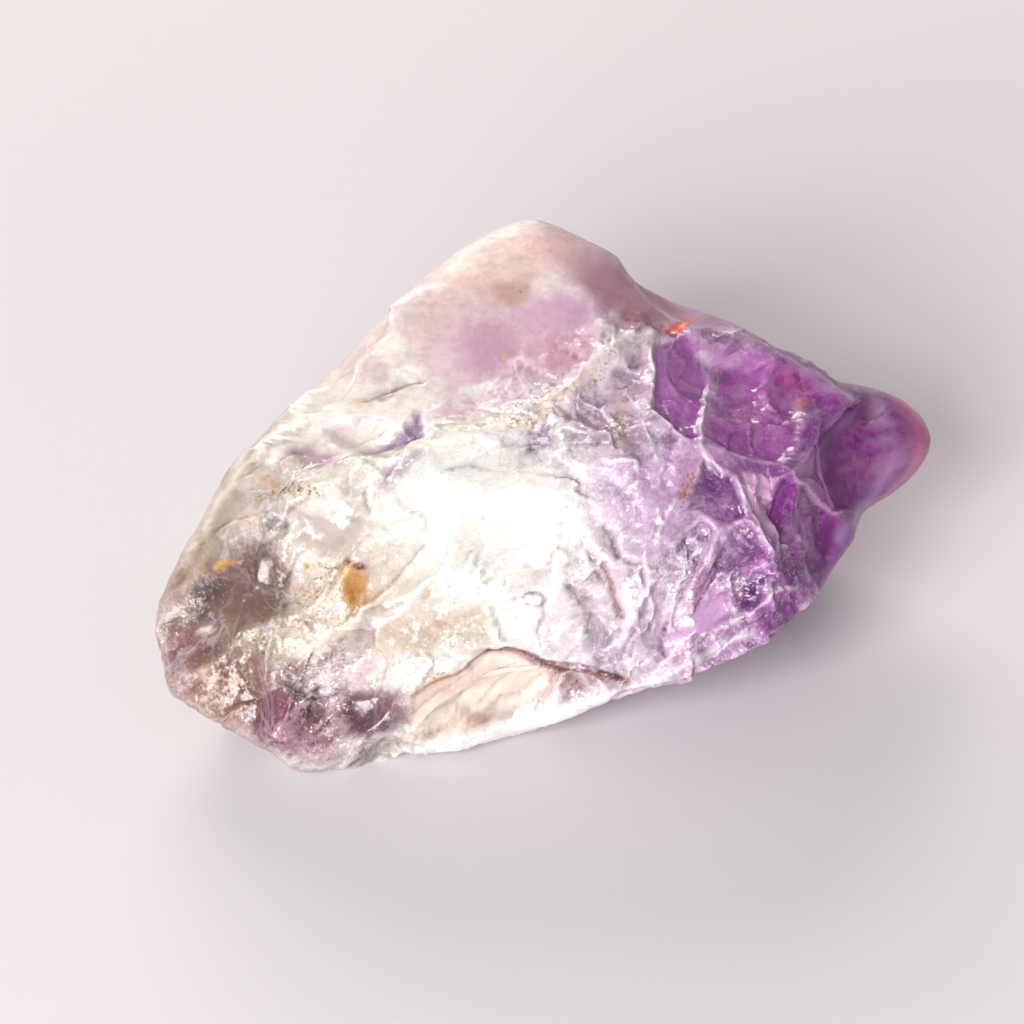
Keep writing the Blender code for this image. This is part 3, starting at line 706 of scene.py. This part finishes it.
# Each facet slopes its own way below the surface it is cut into, and its colour sets in over its soft edge.
def cutFacets(coat, wx, wy, seen, broken):
    for outline, depth, (right, down), colour, amount, crunch, edge, clear in facets.values():
        inner = insideDistance(wx, wy, outline)
        share = smoothStep(-0.3 * edge, 0.7 * edge, inner) * seen
        cx, cy = np.mean(outline, axis=0)
        slope = ((wx - cx) * right + (wy - cy) * down) * viewpoint["pixelSize"]
        coat["height"] += share * (slope - depth * (0.6 + 0.4 * smoothStep(0, 2.0, inner)))
        coat["crunch"] += (crunch - coat["crunch"]) * share
        coat["tint"] = mixInto(coat["tint"], linearColour(colour), share * amount)
        rim = np.exp(-(inner / finish["rimWidth"]) ** 2) * seen * (edge <= finish["sharpEdge"])
        coat["frost"] = np.maximum(coat["frost"] * (1 - 0.6 * share), finish["rimFrost"] * rim * broken)
        coat["clear"] += (clear - coat["clear"]) * share


# A ridge or groove falls off as e to its distance over its width, and its colour as e to the square.
def drawLines(coat, wx, wy, seen):
    for places, width, height, colour, amount, frosted in lines.values():
        far = lineDistance(wx, wy, places) / width
        share = np.exp(-far ** 2) * seen
        coat["height"] += height * np.exp(-far) * seen
        coat["tint"] = mixInto(coat["tint"], linearColour(colour), share * amount)
        coat["frost"] += share * frosted


# Patches wander more than facets do, as clouds in the quartz and runs of rust would; a thin one wanders less.
def layPatches(coat, points, wx, wy, seen):
    strayX = finish["cloudPixels"] * swells(points, noises["cloudAcross"])
    strayY = finish["cloudPixels"] * swells(points, noises["cloudUp"])
    for (cx, cy), (rx, ry), turn, colour, amount, grainy in patches.values():
        angle = math.radians(turn)
        stray = min(1, ry / 14)
        dx, dy = wx + strayX * stray - cx, wy + strayY * stray - cy
        a = (dx * math.cos(angle) + dy * math.sin(angle)) / rx
        b = (dy * math.cos(angle) - dx * math.sin(angle)) / ry
        share = smoothStep(1.25, 0.45, np.hypot(a, b)) * amount * seen
        coat["tint"] = mixInto(coat["tint"], linearColour(colour), share * (1 - grainy))
        stained = np.clip(share * grainy * 4, 0, 1)
        coat["grainTint"] = mixInto(coat["grainTint"], linearColour(colour), stained)
        coat["grains"] = np.maximum(coat["grains"], share * grainy)


# Silk: fine streaks down the broken front, pale where they stand up, which a deeper violet hides more of.
def laySilk(coat, points, moved, streaky):
    silk = swell(drawnOut(moved, (0.45, -0.30, -0.85), 6.0), finish["silkSize"], 98)
    silk = silk + 0.5 * swell(drawnOut(moved, (0.70, -0.25, -0.60), 5.0), 0.5 * finish["silkSize"], 99)
    coat["height"] += finish["silkHeight"] * silk * streaky
    light = finish["silkLight"] - finish["silkDeep"] * smoothStep(*masks["deepFrom"], points[:, 0])
    pale = light * smoothStep(0.15, 0.8, silk) * streaky
    coat["tint"] = mixInto(coat["tint"], linearColour(finish["silkColour"]), pale)
    coat["tint"] = coat["tint"] * (1 - finish["silkDark"] * smoothStep(-0.1, -0.8, silk) * streaky)[:, None]


# Broken relief: broad hackle, shells, flakes and slivers, and wide hollows and steps where the photo doesn't
# look. It gives back each point's painted shade too: each flake and sliver is painted a little lighter or
# darker than the next, as painted light and shade on facets that slope their own ways.
def breakSurface(coat, points, moved, smooth, hidden, wellHidden):
    crunch = coat["crunch"]
    hackle = (chips(points, finish["hackleSize"], 5) - 0.5) * finish["hackleHeight"]
    hollow = chips(drawnOut(moved, (0.7, 0.3, -0.4), 1.6), finish["hollowSize"], 17) - 0.5
    step = flakes(drawnOut(moved, (0.6, -0.3, 0.4), 1.5), finish["stepSize"], 47)[0]
    shells = chips(drawnOut(moved, (0.6, 0.2, 0.6), 2.2), finish["shellSize"], 11) - 0.4
    flake, flakeShade = flakes(drawnOut(moved, (0.35, -0.35, 0.85), 2.4), finish["flakeSize"], 21)
    sliver, sliverShade = flakes(drawnOut(moved, (0.5, 0.2, 0.7), 2.0), finish["sliverSize"], 31)
    coat["height"] += hackle * (0.3 + 0.7 * crunch) * (1 - 0.6 * smooth)
    coat["height"] += (hollow * finish["hollowHeight"] + step * finish["stepSlope"]) * wellHidden
    coat["height"] += shells * finish["shellHeight"] * crunch
    coat["height"] += flake * finish["flakeSlope"] * (0.25 + 0.75 * crunch + 0.3 * hidden) * (1 - smooth)
    coat["height"] += sliver * finish["sliverSlope"] * crunch
    return (finish["flakeShade"] * (flakeShade - 0.5) + finish["sliverShade"] * (sliverShade - 0.5)) * crunch


# Ridges are painted paler, a root of their colour, partly as worn chipped edges and partly as a painted
# highlight, and the bottoms of cracks are darkened with painted shade. A point's bulge is how far it stands
# out of the middle of the points around it, in mm.
def lightRidges(coat, points, squares, broken):
    around = worn(points, squares, np.ones(len(points)), 2)
    bulge = ((points - around) * outwardAt(points, squares)).sum(axis=1)
    ridge = smoothStep(0.004, 0.035, bulge) * (0.35 + 0.65 * broken)
    crack = smoothStep(0.004, 0.04, -bulge) * broken
    # ridges painted paler, partly as wear and partly as a painted highlight; cracks darkened with painted
    # shade
    coat["tint"] = np.maximum(coat["tint"], 0) ** (1 - finish["ridgeLight"] * ridge)[:, None]
    coat["tint"] = coat["tint"] * (1 - finish["crackPaintedShade"] * crack)[:, None]
    coat["frost"] = np.maximum(coat["frost"], 0.5 * ridge)
    return ridge


def makeStone():
    grid, squares = domeGrid(*block["cells"])
    directions = domeDirections(grid)
    points = np.array(block["heart"]) + directions * stoneReach(directions)[:, None]
    everywhere = np.ones(len(points))
    points = worn(points, squares, finish["wearShare"] * everywhere, finish["wearPasses"])
    outward = outwardAt(points, squares)

    # the waxy top and the nose are worn further; only what faces the viewer carries the photo's features
    x, y = photoPlace(points)
    top = smoothStep(*masks["topFaces"], outward[:, 2])
    top = top * smoothStep(*masks["topBehind"], points @ np.array(masks["crestAcross"]))
    top = top * smoothStep(*masks["topFrom"], points[:, 0])
    nose = smoothStep(*masks["noseFrom"], points[:, 0]) * smoothStep(*masks["noseBelow"], points[:, 2])
    smooth = np.clip(top + nose, 0, 1)
    broken = 1 - 0.85 * smooth
    seen = smoothStep(*masks["seen"], outward @ viewBack)
    points = worn(points, squares, finish["smoothShare"] * smooth, finish["smoothPasses"])
    points = worn(points, squares, finish["noseShare"] * nose, finish["nosePasses"])
    outward = outwardAt(points, squares)
    hidden = smoothStep(*masks["hidden"], outward @ viewBack)
    wellHidden = smoothStep(*masks["wellHidden"], outward @ viewBack)
    print("block shaped")

    # what each point carries: linear colours, a height in mm, and shares of crumbling, frost and the like
    wander = np.stack([swell(points, finish["warpSize"], 40 + k) for k in range(3)], axis=1)
    moved = points + wander * finish["warp"]
    calm = np.hypot((x - masks["calmMiddle"][0]) / masks["calmRadii"][0],
                    (y - masks["calmMiddle"][1]) / masks["calmRadii"][1])
    crunch = (0.36 + 0.34 * swell(points, 4.0, 60)) * broken * (1 - 0.55 * hidden)
    coat = {
        "height": np.zeros(len(points)),
        "tint": zonedTint(points),
        "grainTint": np.tile(linearColour(finish["rustColour"]), (len(points), 1)),
        "grains": np.zeros(len(points)),
        "crunch": crunch * (1 - 0.75 * np.exp(-calm ** 4) * seen),
        "frost": 0.35 * broken + 0.75 * smooth - 0.45 * nose,
        "clear": 0.35 + 0.25 * swell(points, 3.0, 90) * (1 - hidden) + 0.25 * hidden,
    }

    # clouds turn the waxy cream towards lilac; growth bands in the violet are drawn out along one direction
    cloudy = smoothStep(-0.3, 0.8, swells(points, noises["skin"]))
    cloudy = finish["cloudShare"] * cloudy * top
    coat["tint"] = mixInto(coat["tint"], linearColour(finish["cloudColour"]), cloudy)
    bands = swell(drawnOut(moved, (0.75, 0.1, 0.65), 3.0), finish["bandSize"], 96)
    bands = bands + 0.4 * swell(points, 0.5, 97)
    bands = smoothStep(0.0, 0.9, bands) * smoothStep(*masks["violetFrom"], points[:, 0]) * (1 - top)

    wx = x + finish["linePixels"] * swells(points, noises["edgeAcross"])
    wy = y + finish["linePixels"] * swells(points, noises["edgeUp"])
    cutFacets(coat, wx, wy, seen, broken)
    print("facets cut")
    drawLines(coat, wx, wy, seen)
    coat["tint"] = mixInto(coat["tint"], linearColour(finish["bandColour"]), finish["bandShare"] * bands)
    streaky = smoothStep(*masks["silkFrom"], points[:, 0]) * smoothStep(*masks["silkCrunch"], coat["crunch"])
    laySilk(coat, points, moved, streaky * seen * (1 - smooth))
    layPatches(coat, points, wx, wy, seen)
    shade = breakSurface(coat, points, moved, smooth, hidden, wellHidden)
    points = points + outward * coat["height"][:, None]
    points = worn(points, squares, finish["lastShare"] * everywhere, 1)
    points = worn(points, squares, finish["hiddenShare"] * hidden, finish["hiddenPasses"])

    # a flake's painted light and shade make it at most a quarter lighter or half as light, and the waxy skin
    # is cloudy as thin milk
    coat["tint"] = coat["tint"] * 2.0 ** np.where(shade > 0, 0.6 * shade, 1.9 * shade)[:, None]
    coat["tint"] = coat["tint"] * (1 + finish["milkShare"] * top * swells(points, noises["milk"]))[:, None]
    ridge = lightRidges(coat, points, squares, broken)
    coat["clear"] = coat["clear"] * (1 - (0.6 - 0.35 * hidden) * ridge) * (1 - 0.3 * smooth)
    points[:, 2] = np.maximum(points[:, 2], 0)
    print("relief and colours laid on")

    mesh = bpy.data.meshes.new("ametrineStone")
    triangle = squares[:, 2] == squares[:, 3]
    faces = squares[~triangle].tolist() + squares[triangle, :3].tolist()
    mesh.from_pydata((points * mm).tolist(), [], faces)
    mesh.shade_smooth()
    mesh.set_sharp_from_angle(angle=math.radians(38))
    for name, colour in (("quartzTint", coat["tint"]), ("grainTint", coat["grainTint"])):
        layer = mesh.color_attributes.new(name, "FLOAT_COLOR", "POINT")
        layer.data.foreach_set("color", np.column_stack([np.clip(colour, 0, 1), everywhere]).ravel())
    coat["waxy"] = smooth
    for name in ("crunch", "frost", "grains", "clear", "waxy"):
        layer = mesh.attributes.new(name, "FLOAT", "POINT")
        layer.data.foreach_set("value", np.clip(coat[name], 0, 1))
    stone = bpy.data.objects.new("ametrineStone", mesh)
    bpy.context.scene.collection.objects.link(stone)
    return stone


def addNode(tree, kind, links=(), **settings):  # one node with its settings, then its inputs linked or set
    node = tree.nodes.new(kind)
    for name, value in settings.items():
        setattr(node, name, value)
    for name, source in dict(links).items():
        if isinstance(source, bpy.types.NodeSocket):
            tree.links.new(source, node.inputs[name])
        else:
            node.inputs[name].default_value = source
    return node


# Quartz: a single crystal of silica, violet at one end and champagne at the other, broken by hand. Its fresh
# fractures are glassy and sharp, its worn edges are white with tiny chips, and rust sits in its cracks.
quartz = {
    "ior": 1.544,
    "specular": 0.4,
    "transmission": (0.30, 0.75),   # where crumbled, and through a clean facet
    "absorptionColour": "#e6d8ea",
    "absorptionDensity": 14.0,      # per metre, so the long way through the stone is a little deeper
    "glassRoughness": 0.15, "frostRoughness": 0.62, "frostSize": 0.9,
    "microFlakes": [(0.34, 0.9), (0.15, 0.7)],   # mm across the smallest flakes, and how steep they are
    "veilSize": 3.0, "veilWidth": 0.025, "veilShare": 0.5, "veilColour": "#f1e6fa",
    "speckSize": 0.16, "speckFrom": (0.61, 0.67), "speckShare": 0.5,
    "mottleSize": 0.5, "mottleFrom": (0.40, 0.66), "mottleShare": 0.42, "mottleColour": "#b78d96",
    "grainSize": 0.16,              # mm across a grain of rust, drawn twice as coarse as it is
    "grainFrom": (0.76, 0.80), "grainLevel": 0.34,
}


def quartzMaterial():
    material = bpy.data.materials.new("brokenQuartz")
    material.use_nodes = True
    tree = material.node_tree
    tree.nodes.clear()
    place = addNode(tree, "ShaderNodeTexCoord").outputs["Object"]
    tint, grainTint = [
        addNode(tree, "ShaderNodeAttribute", attribute_name=name).outputs["Color"]
        for name in ("quartzTint", "grainTint")]
    crunch, frost, grains, clear, waxy = [
        addNode(tree, "ShaderNodeAttribute", attribute_name=name).outputs["Fac"]
        for name in ("crunch", "frost", "grains", "clear", "waxy")]

    # veils: thin pale streaks of healed cracks, where a bent noise crosses its middle level, and bright
    # specks where a fine noise is at its highest; neither on the waxy skin
    bent = addNode(tree, "ShaderNodeMapping", {
        "Vector": place, "Rotation": (0.5, 0.3, 0.7), "Scale": (1.0, 0.35, 1.0)})
    streak = addNode(tree, "ShaderNodeTexNoise", {
        "Vector": bent.outputs[0], "Scale": 1 / (quartz["veilSize"] * mm),
        "Detail": 4.0, "Roughness": 0.62, "Distortion": 0.8})
    off = addNode(tree, "ShaderNodeMath", {0: streak.outputs["Fac"], 1: 0.5}, operation="SUBTRACT")
    away = addNode(tree, "ShaderNodeMath", {0: off.outputs[0]}, operation="ABSOLUTE")
    veil = addNode(tree, "ShaderNodeMapRange", {
        "Value": away.outputs[0], "From Max": quartz["veilWidth"],
        "To Min": quartz["veilShare"], "To Max": 0.0})
    dots = addNode(tree, "ShaderNodeTexNoise", {
        "Vector": place, "Scale": 1 / (quartz["speckSize"] * mm), "Detail": 1.0})
    speckle = addNode(tree, "ShaderNodeMapRange", {
        "Value": dots.outputs["Fac"], "From Min": quartz["speckFrom"][0],
        "From Max": quartz["speckFrom"][1], "To Max": quartz["speckShare"]})
    bright = addNode(tree, "ShaderNodeMath", {
        0: veil.outputs["Result"], 1: speckle.outputs["Result"]}, operation="MAXIMUM")
    broken = addNode(tree, "ShaderNodeMapRange", {"Value": crunch, "From Max": 0.6, "To Min": 0.15})
    bare = addNode(tree, "ShaderNodeMath", {
        0: broken.outputs["Result"], 1: waxy}, operation="SUBTRACT", use_clamp=True)
    pale = addNode(tree, "ShaderNodeMath", {0: bright.outputs[0], 1: bare.outputs[0]}, operation="MULTIPLY")
    veiled = addNode(tree, "ShaderNodeMix", {
        "Factor": pale.outputs[0], 6: tint, 7: (*linearColour(quartz["veilColour"]), 1)}, data_type="RGBA")

    # the waxy skin is finely mottled, as unglazed porcelain is
    fine = addNode(tree, "ShaderNodeTexNoise", {
        "Vector": place, "Scale": 1 / (quartz["mottleSize"] * mm), "Detail": 3.0, "Roughness": 0.75})
    spotted = addNode(tree, "ShaderNodeMapRange", {
        "Value": fine.outputs["Fac"], "From Min": quartz["mottleFrom"][0],
        "From Max": quartz["mottleFrom"][1], "To Max": quartz["mottleShare"]})
    mottle = addNode(tree, "ShaderNodeMath", {0: spotted.outputs["Result"], 1: waxy}, operation="MULTIPLY")
    mottled = addNode(tree, "ShaderNodeMix", {
        "Factor": mottle.outputs[0], 6: veiled.outputs[2], 7: (*linearColour(quartz["mottleColour"]), 1)},
        data_type="RGBA")

    # grains of rust: specks of a fine noise, more of them where the stain is strong
    speck = addNode(tree, "ShaderNodeTexNoise", {
        "Vector": place, "Scale": 1 / (quartz["grainSize"] * mm), "Detail": 2.0, "Roughness": 0.7})
    level = addNode(tree, "ShaderNodeMath", {
        0: grains, 1: quartz["grainLevel"], 2: speck.outputs["Fac"]}, operation="MULTIPLY_ADD")
    grainMask = addNode(tree, "ShaderNodeMapRange", {
        "Value": level.outputs[0], "From Min": quartz["grainFrom"][0], "From Max": quartz["grainFrom"][1]})
    base = addNode(tree, "ShaderNodeMix", {
        "Factor": grainMask.outputs["Result"], 6: mottled.outputs[2], 7: grainTint}, data_type="RGBA")

    # roughness: glassy, with frost where the surface is worn or crumbled
    cloud = addNode(tree, "ShaderNodeTexNoise", {
        "Vector": place, "Scale": 1 / (quartz["frostSize"] * mm), "Detail": 2.0, "Roughness": 0.6})
    dull = addNode(tree, "ShaderNodeMath", {0: frost, 1: cloud.outputs["Fac"]}, operation="MULTIPLY")
    rough = addNode(tree, "ShaderNodeMapRange", {
        "Value": dull.outputs[0], "From Max": 0.5,
        "To Min": quartz["glassRoughness"], "To Max": quartz["frostRoughness"]})

    # the least flakes: each cell of the pattern slopes its own way, as far as it lies from the cell's middle
    normal = None
    for size, strength in quartz["microFlakes"]:
        cells = addNode(tree, "ShaderNodeTexVoronoi", {
            "Vector": place, "Scale": 1 / (size * mm)}, feature="F1")
        offset = addNode(tree, "ShaderNodeVectorMath", {
            0: place, 1: cells.outputs["Position"]}, operation="SUBTRACT")
        slope = addNode(tree, "ShaderNodeVectorMath", {
            0: cells.outputs["Color"], 1: (0.5, 0.5, 0.5)}, operation="SUBTRACT")
        tilt = addNode(tree, "ShaderNodeVectorMath", {
            0: offset.outputs[0], 1: slope.outputs[0]}, operation="DOT_PRODUCT")
        scaled = addNode(tree, "ShaderNodeMath", {
            0: tilt.outputs["Value"], 1: strength}, operation="MULTIPLY")
        relief = addNode(tree, "ShaderNodeMath", {0: scaled.outputs[0], 1: crunch}, operation="MULTIPLY")
        bump = addNode(tree, "ShaderNodeBump", {
            "Height": relief.outputs[0], "Strength": 1.0, "Distance": 1.0})
        if normal:
            tree.links.new(normal, bump.inputs["Normal"])
        normal = bump.outputs["Normal"]

    # clean facets let light through, crumbled ones scatter it
    through = addNode(tree, "ShaderNodeMapRange", {
        "Value": clear, "To Min": quartz["transmission"][0], "To Max": quartz["transmission"][1]})
    shader = addNode(tree, "ShaderNodeBsdfPrincipled", {
        "Base Color": base.outputs[2], "Roughness": rough.outputs["Result"], "Normal": normal,
        "IOR": quartz["ior"], "Transmission Weight": through.outputs["Result"], "Metallic": 0.0,
        "Specular IOR Level": quartz["specular"]})
    depth = addNode(tree, "ShaderNodeVolumeAbsorption", {
        "Color": (*linearColour(quartz["absorptionColour"]), 1), "Density": quartz["absorptionDensity"]})
    output = addNode(tree, "ShaderNodeOutputMaterial", {
        "Surface": shader.outputs[0], "Volume": depth.outputs[0]})
    output.is_active_output = True
    return material


stone = makeStone()
stone.data.materials.append(quartzMaterial())
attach(stone, "root")
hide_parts("ametrine")
print("stone made:", len(stone.data.polygons) * 2, "triangles")

# The studio, in metres: a pale floor, a soft light behind, and a larger and stronger one in front.
studio = {
    "viewTransform": "Standard",
    "floorSide": 3.0,
    "floorColour": "#c6c2c8",
    "worldColour": "#f2f0ee",
    "worldStrength": 0.35,
    "lights": {
        "backWindow": {"place": (-0.08, 0.36, 0.16), "size": 0.24, "power": 1.6, "colour": "#fff6ec"},
        "frontKey": {"place": (-0.18, -0.42, 0.22), "size": 0.30, "power": 4.8, "colour": "#fffdf8"},
    },
}


def makeStudio():
    half = studio["floorSide"] / 2
    mesh = bpy.data.meshes.new("studioFloor")
    rim = [(-half, -half, 0), (half, -half, 0), (half, half, 0), (-half, half, 0)]
    mesh.from_pydata(rim, [], [(0, 1, 2, 3)])
    floor = bpy.data.objects.new("studioFloor", mesh)
    bpy.context.scene.collection.objects.link(floor)
    paper = bpy.data.materials.new("mattPaper")
    paper.use_nodes = True
    surface = paper.node_tree.nodes["Principled BSDF"]
    surface.inputs["Base Color"].default_value = (*linearColour(studio["floorColour"]), 1)
    surface.inputs["Roughness"].default_value = 0.9
    mesh.materials.append(paper)

    world = bpy.data.worlds.new("studioWorld")
    world.use_nodes = True
    backdrop = world.node_tree.nodes["Background"]
    backdrop.inputs["Color"].default_value = (*linearColour(studio["worldColour"]), 1)
    backdrop.inputs["Strength"].default_value = studio["worldStrength"]
    bpy.context.scene.world = world
    bpy.context.scene.view_settings.view_transform = studio["viewTransform"]

    for name, light in studio["lights"].items():
        lamp = bpy.data.lights.new(name, "AREA")
        lamp.shape = "DISK"
        lamp.size = light["size"]
        lamp.energy = light["power"]
        lamp.color = linearColour(light["colour"])
        holder = bpy.data.objects.new(name, lamp)
        holder.location = light["place"]
        aim = np.array(viewpoint["target"]) * mm - np.array(light["place"])
        holder.rotation_euler = mathutils.Vector(aim).to_track_quat("-Z", "Y").to_euler()
        bpy.context.scene.collection.objects.link(holder)


def makeCamera():
    lens = bpy.data.cameras.new("photoCamera")
    lens.lens = viewpoint["lens"]
    lens.sensor_width = viewpoint["sensor"]
    camera = bpy.data.objects.new("photoCamera", lens)
    camera.location = (np.array(viewpoint["target"]) + viewBack * viewpoint["distance"]) * mm
    camera.rotation_euler = (math.radians(90 - viewpoint["elevation"]), 0, 0)
    bpy.context.scene.collection.objects.link(camera)
    bpy.context.scene.camera = camera


makeStudio()
makeCamera()
print("studio set")
